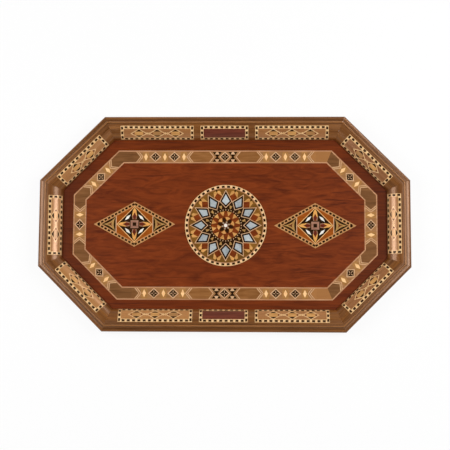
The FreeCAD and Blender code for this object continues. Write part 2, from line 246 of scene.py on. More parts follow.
# layers of shell and bone: wide clouds and a fine ripple
shellPlan = {
    "cloud": {"shift": 0.0, "detail": 2.0, "wave": 1.2, "range": (0.32, 0.68)},
    "ripple": {"shift": 3.3, "detail": 3.0, "wave": 2.0, "range": (0.3, 0.7)}}
shellDefaults = {"squeeze": 1.6, "noiseRough": 0.6, "milk": 0.4, "rough": 0.3, "roughSpread": 0.1}


def pearlFinish(name, look):
    finish, start = newFinish(name)
    look = {**shellDefaults, **look}
    base = onObject(start)

    def layer(kind):
        plan, scale = shellPlan[kind], look[kind]
        place = mapped(base, Location=(plan["shift"], -plan["shift"], 0),
                       Scale=(scale, scale * look["squeeze"], scale))
        return level(noisy(place, plan["detail"], look["noiseRough"], plan["wave"]), *plan["range"])

    fine = layer("ripple")
    colour = mixed(layer("cloud"), tint(*look["cool"]), tint(*look["warm"]))
    colour = mixed(fine * look["milk"], colour, tint(*look["bright"]))
    if "count" in look:
        colour = varied(colour, sliceTone(base, look["count"], look["start"]), look["spread"])
    closeFinish(start, look, colour, look["rough"] + (1.0 - fine) * look["roughSpread"], fine)
    return finish


# a wood by the tints of its dark and pale figure and of its pores, and by what else sets it apart
def wood(seed, deep, bright, pore, **rest):
    return {"seed": seed, "deep": deep, "bright": bright, "pore": pore, **rest}


# woods of the frame, the floor, the border, the medallion, the lozenges and the panels
warmGloss = (1.0, 0.66, 0.46, 1.0)
ebonyGrain = {"figure": (10, 1.5), "fibre": (5, 0.3), "gloss": warmGloss}
woodLooks = {
    # the second colour is painted shade for the grooves beside the bead
    "frameWood": wood(
        2, (94, 53, 18), (142, 88, 38), (62, 33, 11), along="uv", streak=(104, 50, 14), figure=(70, 3.5),
        fibre=(18, 0.45), pores=0.35, streaks=0.8, streakSize=(170, 3.0), tone="piece", second=(58, 29, 10),
        # the crest colour is a painted highlight along the top of the bead
        crest=(186, 130, 78), coatRough=0.2, rough=0.24, shine=1.0, index=1.48, gloss=warmGloss),
    "fieldMahogany": wood(
        3, (95, 37, 9), (134, 59, 19), (74, 26, 9), streak=(58, 19, 7), figure=(34, 9), wave=1.8,
        fibre=(9, 0.6), streaks=0.7, streakSize=(38, 2.4)),
    # darker towards the two end rails: painted shade
    "marginMahogany": wood(
        4, (90, 35, 6), (120, 51, 13), (70, 25, 10), streak=(60, 21, 9), wave=0.9, fibres=0.3, streaks=0.7,
        streakSize=(60, 2.6), tone="ends", ends=(125, 165), second=(64, 24, 5), lift=0.4),
    "bandGround": wood(5, (141, 97, 57), (172, 125, 80), (136, 93, 55), figure=(16, 3), fibre=(7, 0.4)),
    "stringing": wood(6, (168, 118, 80), (204, 154, 114), (142, 98, 64), figure=(30, 3)),
    "paleStringing": wood(7, (196, 152, 110), (226, 186, 144), (170, 126, 88), figure=(12, 2)),
    "sidePlaque": wood(
        8, (126, 79, 38), (154, 104, 57), (104, 62, 28), figure=(26, 3), fibre=(12, 0.4), tone="cell",
        pitch=(52, 60), spread=0.06),
    "cornerPlaque": wood(
        9, (106, 67, 34), (138, 93, 53), (84, 50, 24), figure=(24, 3), fibre=(12, 0.4), tone="corner",
        second=(172, 117, 66), lift=0.8, pitch=(40, 25), spread=0.1, mitreFoot=(111.4, 67.7),
        mitreSlope=0.41421, centreY=-0.75),
    "goldGround": wood(31, (150, 103, 52), (182, 132, 76), (132, 86, 42), figure=(9, 2.5), fibre=(6, 0.4)),
    "borderGold": wood(10, (232, 180, 120), (250, 210, 155), (220, 166, 106), figure=(8, 2), fibres=0.2),
    "starGold": wood(
        11, (190, 134, 66), (224, 170, 98), (166, 108, 50), figure=(6, 2), tone="slice", count=48,
        spread=0.16),
    "lozengeGold": wood(12, (206, 144, 70), (234, 176, 96), (176, 116, 52), figure=(6, 2)),
    "starRed": wood(
        13, (102, 38, 6), (140, 62, 16), (76, 27, 4), figure=(8, 2), tone="slice", count=24, spread=0.2),
    "darkRed": wood(27, (82, 24, 8), (118, 44, 18), (60, 16, 6), figure=(6, 2)),
    "rustPanel": wood(14, (134, 63, 8), (162, 83, 15), (120, 54, 8), figure=(18, 3)),
    "oliveGround": wood(
        15, (104, 66, 20), (138, 92, 34), (84, 50, 15), figure=(8, 2), tone="slice", count=24, spread=0.2),
    "khakiStar": wood(16, (156, 116, 60), (198, 154, 90), (128, 90, 44), figure=(10, 2), turn=60),
    "roseSquare": wood(17, (144, 100, 80), (172, 128, 104), (122, 80, 62), figure=(6, 2)),
    "ebony": wood(18, (26, 11, 1), (50, 27, 6), (16, 7, 1), **ebonyGrain, coat=0.1),
    "panelEbony": wood(30, (40, 16, 2), (60, 29, 5), (16, 7, 1), **ebonyGrain, rough=0.4, shine=0.25),
    "kiteEbony": wood(19, (28, 14, 6), (46, 26, 12), (26, 13, 4), **ebonyGrain, coat=0.1),
    "lozengeBand": wood(26, (168, 117, 66), (204, 154, 100), (158, 110, 68), figure=(8, 2), fibres=0.2),
    "squareLine": wood(28, (212, 158, 96), (240, 192, 130), (190, 136, 78), figure=(10, 2), fibres=0.2),
    "ringPale": wood(29, (214, 170, 118), (242, 206, 156), (192, 146, 94), figure=(4, 2), fibres=0.2),
    "checkPale": wood(
        20, (216, 169, 112), (244, 208, 154), (192, 141, 88), figure=(5, 2), fibres=0.2, rough=0.26,
        shine=1.0, index=1.6, gloss=warmGloss),
    # the second colour is the painted light that each side's tone mixes into the panel faces
    "panelWalnut": wood(
        21, (122, 72, 36), (156, 100, 53), (98, 57, 28), along="uv", figure=(26, 3), fibre=(10, 0.4),
        tone="piece", second=(180, 123, 64), rough=0.25, shine=1.0, index=1.75, gloss=warmGloss),
    "panelMahogany": wood(
        22, (82, 31, 21), (122, 57, 40), (62, 22, 14), along="uv", figure=(30, 2.5), fibre=(10, 0.4),
        rough=0.28, shine=0.7, gloss=warmGloss),
    "hexagonGold": wood(
        23, (182, 126, 64), (220, 166, 96), (148, 98, 48), along="uv", figure=(9, 1.6), fibre=(6, 0.35),
        tone="piece", second=(134, 92, 52), rough=0.26, shine=1.0, index=1.65, gloss=warmGloss),
    "splineBeech": wood(24, (150, 108, 70), (176, 132, 90), (126, 86, 52)),
    "boardPly": wood(
        25, (168, 128, 84), (198, 158, 112), (128, 90, 54), streak=(140, 100, 62), figure=(70, 6),
        fibre=(16, 0.5), pores=0.4, coat=0.1, rough=0.6)}
shellLooks = {
    "pearlKite": {
        "cool": (128, 144, 151), "warm": (168, 170, 168), "bright": (208, 213, 215), "milk": 0.6,
        "cloud": 150.0, "ripple": 420.0, "rough": 0.22, "count": 12, "start": 0.5, "spread": 0.26,
        "coat": 0.9, "coatRough": 0.08},
    "boneWhite": {
        "cool": (206, 200, 190), "warm": (236, 230, 220), "bright": (246, 242, 236),
        "cloud": 200.0, "ripple": 600.0},
    "greyPearl": {
        "cool": (120, 120, 92), "warm": (160, 158, 128), "bright": (196, 194, 172),
        "cloud": 260.0, "ripple": 700.0}}
finishes = {name: woodFinish(name, look) for name, look in woodLooks.items()}
finishes.update({name: pearlFinish(name, look) for name, look in shellLooks.items()})

# steel of the brads: brushed grey with a few dull spots
bradLook = {
    "steel": (150, 150, 152), "dull": (104, 100, 96), "spots": 900.0, "detail": 3.0, "range": (0.35, 0.65),
    "rough": 0.3, "roughSpread": 0.25}
finishes["bradSteel"], start = newFinish("bradSteel")
spots = onObject(start)
spots = spots.node("ShaderNodeTexNoise", {}, {
    "Vector": spots, "Scale": bradLook["spots"], "Detail": bradLook["detail"]})
spots = level(spots, *bradLook["range"])
shader = start.node("ShaderNodeBsdfPrincipled", {}, {
    "Base Color": mixed(spots, tint(*bradLook["steel"]), tint(*bradLook["dull"])), "Metallic": 1.0,
    "Roughness": bradLook["rough"] + spots * bradLook["roughSpread"]})
start.node("ShaderNodeOutputMaterial", {}, {"Surface": shader})
print("finishes ready:", len(finishes))

# node trees for what repeats or follows the cushion
treePlan = {"blockCuts": 6, "curvePoints": 256}


def newTree(name, **inputs):
    tree = bpy.data.node_groups.new(name, "GeometryNodeTree")
    tree.interface.new_socket("Geometry", in_out="OUTPUT", socket_type="NodeSocketGeometry")
    inputs["Material"] = "Material"
    for label, kind in inputs.items():
        tree.interface.new_socket(label, in_out="INPUT", socket_type="NodeSocket" + kind)
    entry = tree.nodes.new("NodeGroupInput")
    return tree, {label: Flow(tree, entry.outputs[label]) for label in inputs}


def closeTree(geometry, finish):
    plain = geometry.node("GeometryNodeRealizeInstances", {}, {"Geometry": geometry})
    dressed = plain.node("GeometryNodeSetMaterial", {}, {"Geometry": plain, "Material": finish})
    dressed.node("NodeGroupOutput", {}, {"Geometry": dressed})


def runTree(tree, finish, values, mesh=None):
    values = dict(values, Material=finishes[finish])
    holder = bpy.data.objects.new("holder", mesh or bpy.data.meshes.new("seed"))
    scene.collection.objects.link(holder)
    modifier = holder.modifiers.new("tree", "NODES")
    modifier.node_group = tree
    for item in tree.interface.items_tree:
        if item.in_out == "INPUT" and item.name in values:
            modifier[item.identifier] = values[item.name]
    graph = bpy.context.evaluated_depsgraph_get()
    made = bpy.data.meshes.new_from_object(holder.evaluated_get(graph))
    holder.modifiers.remove(modifier)
    bpy.data.objects.remove(holder)
    return made


def vector(flow, x, y, z):
    return flow.node("ShaderNodeCombineXYZ", {}, {"X": x, "Y": y, "Z": z})


def upright(flow, angle):  # a turn about +Z
    return flow.node("FunctionNodeAxisAngleToRotation", {}, {"Axis": (0.0, 0.0, 1.0), "Angle": angle})


def put(geometry, middle, turn=None):
    inputs = {"Geometry": geometry, "Translation": middle}
    if turn:
        inputs["Rotation"] = upright(geometry, turn)
    return geometry.node("GeometryNodeTransform", {}, inputs)


def copied(points, shape, angle=None):  # one shape on each point
    inputs = {"Points": points, "Instance": shape}
    if angle:
        inputs["Rotation"] = upright(points, angle)
    return points.node("GeometryNodeInstanceOnPoints", {}, inputs)


# a straight row of small blocks, cut so that they bend with the cushion
rowTree, row = newTree("tileRow", Count="Int", Pitch="Float", Size="Vector", Turn="Float", Middle="Vector")
block = row["Size"].node("GeometryNodeMeshCube", {}, {
    "Size": row["Size"], "Vertices X": treePlan["blockCuts"], "Vertices Y": treePlan["blockCuts"]})
firstAt = (row["Count"] - 1.0) * row["Pitch"] * -0.5
line = block.node("GeometryNodeMeshLine", {}, {
    "Count": row["Count"], "Start Location": vector(block, firstAt, 0.0, 0.0),
    "Offset": vector(block, row["Pitch"], 0.0, 0.0)})
closeTree(put(copied(line, block), row["Middle"], row["Turn"]), row["Material"])

# small blocks round a circle
ringTree, ring = newTree("tileRing", Count="Int", Radius="Float", Size="Vector", Middle="Vector")
block = ring["Size"].node("GeometryNodeMeshCube", {}, {"Size": ring["Size"]})
circle = block.node("GeometryNodeMeshCircle", {}, {"Vertices": ring["Count"], "Radius": ring["Radius"]})
index = block.node("GeometryNodeInputIndex")
closeTree(put(copied(circle, block, index / ring["Count"] * math.tau), ring["Middle"]), ring["Material"])

# copies of one pattern, turned about the middle
spinTree, spin = newTree("spinCopies", Geometry="Geometry", Count="Int", Start="Float", Middle="Vector")
heap = spin["Count"].node("GeometryNodeMeshLine", {}, {"Count": spin["Count"], "Offset": (0.0, 0.0, 0.0)})
index = heap.node("GeometryNodeInputIndex")
copies = copied(heap, spin["Geometry"], index / spin["Count"] * math.tau + spin["Start"])
closeTree(put(copies, spin["Middle"]), spin["Material"])

# a flat pattern laid on the cushion of one rail: x along, y down the curve, z off the surface
wrapTree, wrap = newTree("cushionWrap", Geometry="Geometry", Reach="Float", Rise="Float", Depth="Float",
                         Base="Float", Turn="Float", Middle="Vector")
curve = wrap["Geometry"].node("GeometryNodeCurveArc", {"mode": "RADIUS"}, {
    "Resolution": treePlan["curvePoints"], "Radius": 1.0,
    "Start Angle": math.pi / 2, "Sweep Angle": -math.pi / 2})
curve = curve.node("GeometryNodeTransform", {}, {
    "Geometry": curve, "Scale": vector(curve, wrap["Reach"], wrap["Rise"], 1.0)})
along = split(curve.node("GeometryNodeInputPosition"))
spot = curve.node("GeometryNodeSampleCurve", {"mode": "LENGTH"}, {
    "Curves": curve, "Length": along.other("Y")}, "Position")
point, lean, lift = split(spot), split(spot.other("Tangent")), along.other("Z")
laid = vector(spot, along, wrap["Depth"] + point - lean.other("Y") * lift,
              wrap["Base"] + point.other("Y") + lean * lift)
bent = spot.node("GeometryNodeSetPosition", {}, {"Geometry": wrap["Geometry"], "Position": laid})
closeTree(put(bent, wrap["Middle"], wrap["Turn"]), wrap["Material"])

# a moulding cut to its mitres and turned to its side of the tray
railTree, rail = newTree("mitredRail", Geometry="Geometry", Half="Float", Mitre="Float", Turn="Float",
                         Middle="Vector")
along = split(rail["Geometry"].node("GeometryNodeInputPosition"))
reach = rail["Half"] - along.other("Y") * rail["Mitre"]
cut = along.node("GeometryNodeSetPosition", {}, {
    "Geometry": rail["Geometry"],
    "Position": vector(along, along * reach, along.other("Y"), along.other("Z"))})
closeTree(put(cut, rail["Middle"], rail["Turn"]), rail["Material"])
print("trees ready:", len(bpy.data.node_groups))


# flat outlines and plates, sizes in mm
def inMetres(*sizes):
    return tuple(size * mm for size in sizes)


def inset(points, distance):
    lines = []
    for (x0, y0), (x1, y1) in zip(points, points[1:] + points[:1]):
        length = math.hypot(x1 - x0, y1 - y0)
        nx, ny = -(y1 - y0) / length, (x1 - x0) / length
        lines.append((nx, ny, nx * x0 + ny * y0 + distance))
    corners = []
    for (a0, b0, c0), (a1, b1, c1) in zip(lines[-1:] + lines[:-1], lines):
        det = a0 * b1 - a1 * b0
        corners.append(((c0 * b1 - c1 * b0) / det, (a0 * c1 - a1 * c0) / det))
    return corners


def outlineStrips(points, width):  # the edge of an outline as separate strips
    inner = inset(points, width)
    return list(zip(points, points[1:] + points[:1], inner[1:] + inner[:1], inner))


def rectangle(x0, x1, y0, y1):
    return [(x0, y0), (x1, y0), (x1, y1), (x0, y1)]


def diamond(x, y, length, height):
    return [(x - length, y), (x, y - height), (x + length, y), (x, y + height)]


def bar(x0, y0, x1, y1, width):  # a thin strip between two points
    length = math.hypot(x1 - x0, y1 - y0)
    nx, ny = -(y1 - y0) / length * width / 2, (x1 - x0) / length * width / 2
    return [(x0 - nx, y0 - ny), (x1 - nx, y1 - ny), (x1 + nx, y1 + ny), (x0 + nx, y0 + ny)]


def arc(sweep, steps):  # the angles of an even sweep
    return [sweep * k / steps for k in range(steps + 1)]


def flipped(points):
    return [(-x, y) for x, y in reversed(points)]


def finished(mesh, name):
    made = bpy.data.meshes.new(name)
    mesh.to_mesh(made)
    mesh.free()
    return made


platePlan = {"grainShift": (37.0, 11.0), "sharp": 30.0}


def addPlate(mesh, points, low, high, step, tone, shift):
    part = bmesh.new()
    grain = part.loops.layers.uv.new("grain")
    toned = part.verts.layers.float.new("tone")
    part.faces.new([part.verts.new(inMetres(x, y, low)) for x, y in points])
    if step:  # cut across so that the plate bends with the cushion
        rows = [y for x, y in points]
        count = max(1, math.ceil((max(rows) - min(rows)) / step))
        for k in range(1, count):
            y = min(rows) + (max(rows) - min(rows)) * k / count
            everything = part.verts[:] + part.edges[:] + part.faces[:]
            bmesh.ops.bisect_plane(part, geom=everything, plane_co=(0, y * mm, 0), plane_no=(0, 1, 0))
    raised = bmesh.ops.extrude_face_region(part, geom=part.faces[:])["geom"]
    upper = [item for item in raised if isinstance(item, bmesh.types.BMVert)]
    bmesh.ops.translate(part, verts=upper, vec=(0, 0, (high - low) * mm))
    bmesh.ops.recalc_face_normals(part, faces=part.faces[:])
    for vert in part.verts:
        vert[toned] = tone
    for face in part.faces:
        for loop in face.loops:
            loop[grain].uv = (loop.vert.co.x + shift[0] * mm, loop.vert.co.y + shift[1] * mm)
    plate = finished(part, "plate")
    mesh.from_mesh(plate)
    bpy.data.meshes.remove(plate)


def plates(outlines, low, high, step=0.0, tones=None):
    mesh = bmesh.new()
    for k, points in enumerate(outlines):
        shift = [amount * k for amount in platePlan["grainShift"]]
        addPlate(mesh, points, low, high, step, tones[k] if tones else 0.0, shift)
    return finished(mesh, "plates")


def joined(parts):
    mesh = bmesh.new()
    for part in parts:
        mesh.from_mesh(part)
    return finished(mesh, "joined")


def piece(name, mesh, finish, slot, nodes=()):
    mesh.name = name
    mesh.materials.clear()
    mesh.materials.append(finishes[finish])
    mesh.shade_smooth()
    mesh.set_sharp_from_angle(angle=math.radians(platePlan["sharp"]))
    thing = bpy.data.objects.new(name, mesh)
    scene.collection.objects.link(thing)
    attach(thing, "root")
    if nodes:
        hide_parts(*nodes)
    print(name, len(mesh.polygons), "faces")


def eightSides(length, width, leg, centre=(0.0, 0.0)):
    slant = leg / math.sqrt(2)
    x, y = length - leg / 2, width - leg / 2
    rows = [("front", 0, length - leg, (0, -width)), ("front_right", 45, slant, (x, -y)),
            ("right", 90, width - leg, (length, 0)), ("back_right", 135, slant, (x, y)),
            ("back", 180, length - leg, (0, width)), ("back_left", 225, slant, (-x, y)),
            ("left", 270, width - leg, (-length, 0)), ("front_left", 315, slant, (-x, -y))]
    return [{"name": name, "turn": math.radians(turn), "half": half,
             "middle": (at[0] + centre[0], at[1] + centre[1])} for name, turn, half, at in rows]


def onSide(side, points):
    c, s = math.cos(side["turn"]), math.sin(side["turn"])
    return [(side["middle"][0] + x * c - y * s, side["middle"][1] + x * s + y * c) for x, y in points]


# frame rails
railPlan = {
    "length": 201.0, "width": 117.0, "leg": 70.0, "depth": 24.6, "rabbet": 15.5, "floor": 10.0, "foot": 0.6,
    "shoulder": (4.5, 17.6, 2.6), "shoulderSteps": 10,
    "bead": (6.6, 20.8, 1.0), "beadFoot": 20.2, "beadSteps": 12,
    "cushionStart": 8.3, "cushionRise": 11.0, "cushionSteps": 48, "mitre": 22.5, "stations": 9, "gap": 0.04,
    # groove: painted shade in the grooves beside the bead; crest: painted highlight along its top
    "groove": {"from": 20.0, "over": 0.3, "share": 0.95, "past": 0.1, "tone": 0.4},
    "crest": {"over": 0.3, "tone": 0.25}, "grain": {"next": 310.0, "drift": 0.3, "end": 0.1}}
cushionReach = railPlan["depth"] - railPlan["cushionStart"]


def railProfile(plan):  # y in from the outer edge, z up
    wide, low, high = plan["shoulder"]
    middle, rise, radius = plan["bead"]
    start, top, floor = plan["cushionStart"], plan["cushionRise"], plan["floor"]
    path = [(plan["rabbet"], 0.0), (plan["foot"], 0.0), (0.0, plan["foot"]), (0.0, low / 2)]
    for a in arc(math.pi / 2, plan["shoulderSteps"]):
        path.append((wide - wide * math.cos(a), low + high * math.sin(a)))
    path.append((middle - radius, plan["beadFoot"]))
    for a in arc(math.pi, plan["beadSteps"]):
        path.append((middle - radius * math.cos(a), rise + radius * math.sin(a)))
    path.append((start, rise))
    for a in arc(math.pi / 2, plan["cushionSteps"]):
        path.append((start + cushionReach * math.sin(a), floor + top * math.cos(a)))
    path.append((plan["rabbet"], floor))
    return path


def paintedGrooveShade(y, z):  # painted shade, darker down in the two grooves beside the bead
    middle, rise, radius = railPlan["bead"]
    groove = railPlan["groove"]
    deep = groove["from"] <= z <= rise + groove["over"]
    beside = abs(y - middle) > radius * groove["share"] and y < railPlan["cushionStart"] + groove["past"]
    return groove["tone"] if deep and beside else 0.0


def paintedCrestHighlight(y, z):  # painted highlight, paler along the top of the bead
    crest = railPlan["crest"]
    return crest["tone"] if z > railPlan["bead"][1] + crest["over"] and y < railPlan["cushionStart"] else 0.0


profile = railProfile(railPlan)
walked = [0.0]
for (y0, z0), (y1, z1) in zip(profile, profile[1:] + profile[:1]):
    walked.append(walked[-1] + math.hypot(y1 - y0, z1 - z0))


def railBar(half, shift):  # the moulding from -1 to 1 along x, before its mitres are cut
    mesh = bmesh.new()
    grain = mesh.loops.layers.uv.new("grain")
    toned = mesh.verts.layers.float.new("tone")
    highlightLayer = mesh.verts.layers.float.new("crest")
    count, stations, plan = len(profile), railPlan["stations"], railPlan["grain"]
    rings = [[mesh.verts.new((2 * i / (stations - 1) - 1, y * mm, z * mm)) for y, z in profile]
             for i in range(stations)]
    for i in range(stations - 1):
        for j in range(count):
            k = (j + 1) % count
            face = mesh.faces.new([rings[i][j], rings[i + 1][j], rings[i + 1][k], rings[i][k]])
            for loop, step in zip(face.loops, (j, j, j + 1, j + 1)):
                loop[grain].uv = inMetres(loop.vert.co.x * half + shift, walked[step] + shift * plan["drift"])
    for ring in rings:
        # painted groove shade and painted bead highlight, carried by the points of each ring
        for vert, (y, z) in zip(ring, profile):
            vert[toned] = paintedGrooveShade(y, z)
            vert[highlightLayer] = paintedCrestHighlight(y, z)
    for ends in (rings[0], rings[-1]):
        face = mesh.faces.new(ends)
        for loop in face.loops:
            loop[grain].uv = ((loop.vert.co.y / mm * plan["end"] + shift) * mm, loop.vert.co.z)
    bmesh.ops.recalc_face_normals(mesh, faces=mesh.faces[:])
    return finished(mesh, "bar")


sides = eightSides(railPlan["length"], railPlan["width"], railPlan["leg"])
for k, side in enumerate(sides):
    mesh = runTree(railTree, "frameWood", {
        "Half": (side["half"] - railPlan["gap"]) * mm, "Mitre": math.tan(math.radians(railPlan["mitre"])),
        "Turn": side["turn"], "Middle": inMetres(*side["middle"], 0.0)},
        railBar(side["half"], railPlan["grain"]["next"] * k))
    piece("rail_" + side["name"] + "_moulding", mesh, "frameWood", "frame_wood", ["rail_" + side["name"]])

# panels on the cushion: check bands, a face and the mosaic on it
panelPlan = {
    "top": 2.2, "bottom": 19.2, "band": 3.3, "centreHalf": 26.0,
    "longNear": 33.5, "longFar": 113.3, "shortHalf": 32.4,
    "slides": {"left": 2.2, "right": 0.0, "back_left": 1.2, "front_left": -0.9,
               "front_right": 0.5, "back_right": -0.9},
    # the tones paint light and shade: each side's panel faces are lighter or darker as the light falls on
    # that side
    "tones": {"front": (0.75, 0.0, 0.4), "back": (0.25, 0.0, 0.3), "left": (0.55,), "right": (0.45,),
              "front_left": (0.75,), "front_right": (0.15,), "back_left": (0.5,), "back_right": (0.0,)},
    "sink": -0.25, "proud": 0.05, "detail": 0.1, "step": 0.5}
checkPlan = {
    "rows": {"long": (13, 5.67), "centre": (8, 5.75), "corner": (10, 5.75), "end": (10, 5.75)},
    "short": (3, 5.3), "shortShift": -0.7, "size": (3.2, 2.3), "thick": 0.2}
motifPlan = {
    "marks": {"long": (-1, 0, 1), "corner": (-0.5, 0.5), "end": (-0.5, 0.5)}, "pitch": 20.0,
    "hexagon": (4.8, 3.8, 2.2), "tones": (0.0, 0.1, 0.25, 0.6), "seed": 7, "outline": (9.2, 5.3), "line": 0.7,
    "cap": (3.6, 2.2, 4.4), "capTops": (0.2, 0.4), "capDrop": 0.6,
    "pin": (5.6, 0.75, 1.3), "cross": (1.6, 0.7, 0.6)}
kinds = ("long", "centre", "corner", "end")
faceMeshes = {kind: [] for kind in kinds}
bandMeshes = {kind: [] for kind in kinds}
hexagonMeshes, ebonyMeshes, pinMeshes, lineMeshes = [], [], [], []


def wrapped(mesh, side, finish):
    return runTree(wrapTree, finish, {
        "Reach": cushionReach * mm, "Rise": railPlan["cushionRise"] * mm,
        "Depth": railPlan["cushionStart"] * mm, "Base": railPlan["floor"] * mm,
        "Turn": side["turn"], "Middle": inMetres(*side["middle"], 0.0)}, mesh)


def onCushion(outlines, side, finish, height="detail", tones=None):
    flat = plates(outlines, panelPlan["sink"], panelPlan[height], panelPlan["step"], tones)
    return wrapped(flat, side, finish)


def checkRow(count, pitch, turn, x, y):
    lift = panelPlan["detail"] - checkPlan["thick"] / 2
    return runTree(rowTree, "panelEbony", {
        "Count": count, "Pitch": pitch * mm, "Size": inMetres(*checkPlan["size"], checkPlan["thick"]),
        "Turn": turn, "Middle": inMetres(x, y, lift)})


def layMotifs(side, middleX, y, marks):  # hexagons in diamond lines, with caps, pins and crosses
    point, flat, high = motifPlan["hexagon"]
    base, capLow, capHigh = motifPlan["cap"]
    backTop, frontTop = [base * share for share in motifPlan["capTops"]]
    drop = motifPlan["capDrop"]
    pinX, pinWide, pinTall = motifPlan["pin"]
    for mark in marks:
        x = middleX + mark * motifPlan["pitch"]
        hexagon = [(x - point, y), (x - flat, y - high), (x + flat, y - high), (x + point, y),
                   (x + flat, y + high), (x - flat, y + high)]
        tone = random.choice(motifPlan["tones"])
        hexagonMeshes.append(onCushion([hexagon], side, "hexagonGold", "detail", [tone]))
        caps = [[(x - base, y - capLow), (x - backTop, y - capHigh),
                 (x + backTop, y - capHigh), (x + base, y - capLow)],
                [(x - base, y + capLow), (x + base, y + capLow),
                 (x + frontTop, y + capHigh - drop), (x - frontTop, y + capHigh - drop)]]
        pins = [diamond(x + way * pinX, y, pinWide, pinTall) for way in (-1, 1)]
        pinMeshes.append(onCushion(pins, side, "darkRed"))
        ebonyMeshes.append(onCushion(caps, side, "panelEbony"))
        edge = outlineStrips(diamond(x, y, *motifPlan["outline"]), motifPlan["line"])
        lineMeshes.append(onCushion(edge, side, "checkPale"))
    reach, slope, width = motifPlan["cross"]
    for first, second in zip(marks, marks[1:]):
        x = middleX + (first + second) / 2 * motifPlan["pitch"]
        links = [bar(x - reach, y - reach * slope, x + reach, y + reach * slope, width),
                 bar(x - reach, y + reach * slope, x + reach, y - reach * slope, width)]
        lineMeshes.append(onCushion(links, side, "checkPale"))


def layPanel(side, kind, near, far, tone):
    top, bottom, band = panelPlan["top"], panelPlan["bottom"], panelPlan["band"]
    middleX, middleY = (near + far) / 2, (top + bottom) / 2
    strips = [rectangle(near + band, far - band, top, top + band),
              rectangle(near + band, far - band, bottom - band, bottom),
              rectangle(near, near + band, top, bottom), rectangle(far - band, far, top, bottom)]
    bandMeshes[kind].append(onCushion(strips, side, "checkPale", "proud"))
    face = rectangle(near + band, far - band, top + band, bottom - band)
    faceMeshes[kind].append(onCushion([face], side, "panelWalnut", "proud", [tone]))
    rows = [checkRow(*checkPlan["rows"][kind], 0.0, middleX, y) for y in (top + band / 2, bottom - band / 2)]
    rows += [checkRow(*checkPlan["short"], math.pi / 2, x, middleY + checkPlan["shortShift"])
             for x in (near + band / 2, far - band / 2)]
    ebonyMeshes.extend(wrapped(flat, side, "panelEbony") for flat in rows)
    if kind in motifPlan["marks"]:
        layMotifs(side, middleX, middleY, motifPlan["marks"][kind])


random.seed(motifPlan["seed"])
for side in sides:
    if side["name"] in ("front", "back"):
        near, far, half = panelPlan["longNear"], panelPlan["longFar"], panelPlan["centreHalf"]
        spans = [("long", -far, -near), ("centre", -half, half), ("long", near, far)]
    else:
        kind = "end" if side["name"] in ("left", "right") else "corner"
        slide, half = panelPlan["slides"][side["name"]], panelPlan["shortHalf"]
        spans = [(kind, slide - half, slide + half)]
    for span, tone in zip(spans, panelPlan["tones"][side["name"]]):
        layPanel(side, *span, tone)

panelFinish = {kind: ("panelWalnut", "panel_wood") for kind in kinds}
panelFinish["centre"] = ("panelMahogany", "panel_mahogany")
for kind in kinds:
    piece(kind + "_panel_faces", joined(faceMeshes[kind]), *panelFinish[kind], [kind + "_panels"])
    piece(kind + "_panel_checks", joined(bandMeshes[kind]), "checkPale", "check_band",
          [kind + "_panel_bands"])
piece("panel_hexagon_faces", joined(hexagonMeshes), "hexagonGold", "gold_wood", ["panel_hexagons"])
piece("panel_ebony_tiles", joined(ebonyMeshes), "panelEbony", "ebony")
piece("panel_red_pins", joined(pinMeshes), "darkRed", "red_wood")
piece("panel_pale_lines", joined(lineMeshes), "checkPale", "check_band")

# inlay too fine for the solids lies a hair above the floor
floorTop = railPlan["floor"]
inlayPlan = {"low": floorTop - 0.3, "high": floorTop + 0.03, "thick": 0.4}
blockMiddle = inlayPlan["high"] - inlayPlan["thick"] / 2


def inlay(outlines, lift=0.0):
    return plates(outlines, inlayPlan["low"], inlayPlan["high"] + lift)


# fine inlay of the border band
borderPlan = {
    "length": 165.6, "width": 81.8, "leg": 49.0, "band": 14.1, "centre": (0.6, -0.75), "string": 1.3,
    "longStars": (0.0, 55.5, -55.5, 76.4, -76.4), "shortStars": (0.0,), "starEdge": 6.3, "starLine": 0.9,
    "petal": ((0.5, 0), (1.4, -0.42), (4.2, 0), (1.4, 0.42)), "starCore": 0.8, "coreLift": 0.02,
    "longGold": (45.1, 66.0, 86.9), "shortGold": (10.7,), "goldTile": (2.1, 4.3), "goldGround": (3.8, 2.8),
    "groundLift": -0.01, "longNose": 93.2, "shortNose": 17.0, "plaque": (12.8, 39.0), "nose": 4.7,
    "vees": ((0.3, 1.2), (2.6, 3.5)), "glass": (8.6, 5.4), "glassBit": (0.9, 2.4, 2.7)}
mid = borderPlan["band"] / 2
firstY, lastY = borderPlan["string"], borderPlan["band"] - borderPlan["string"]


def starPetals(x):
    petals = []
    for turn in (0, 90, 180, 270):
        c, s = math.cos(math.radians(turn)), math.sin(math.radians(turn))
        petals.append([(x + r * c - w * s, mid + r * s + w * c) for r, w in borderPlan["petal"]])
    return petals


def goldFlanks(x):  # the ground to both sides of a gold diamond
    goldHalf, goldHigh = borderPlan["goldTile"]
    waist, end = borderPlan["goldGround"]
    flank = [(x, firstY), (x + end, firstY), (x + waist, mid), (x + end, lastY), (x, lastY),
             (x, mid + goldHigh), (x + goldHalf, mid), (x, mid - goldHigh)]
    other = [(2 * x - px, py) for px, py in reversed(flank)]
    return [flank, other, flipped(flank), flipped(other)]


def plaqueVees(nose, way, count):  # lines that follow the pointed end of a plaque
    shoulder = nose + borderPlan["nose"] * way
    found = []
    for near, far in borderPlan["vees"][:count]:
        for y in (firstY, lastY):
            vee = [(nose - near * way, mid), (shoulder - near * way, y),
                   (shoulder - far * way, y), (nose - far * way, mid)]
            found += [vee, flipped(vee)]
    return found


def glassBits():  # the notches of the two hourglasses beside the middle star
    x, high = borderPlan["glass"]
    slim, broad, deep = borderPlan["glassBit"]
    found = []
    for way in (-1, 1):
        outer, inner = mid + way * high, mid + way * (high - deep)
        bit = [(x - slim, outer), (x + slim, outer), (x + broad, inner), (x - broad, inner)]
        found += [bit, flipped(bit)]
    return found


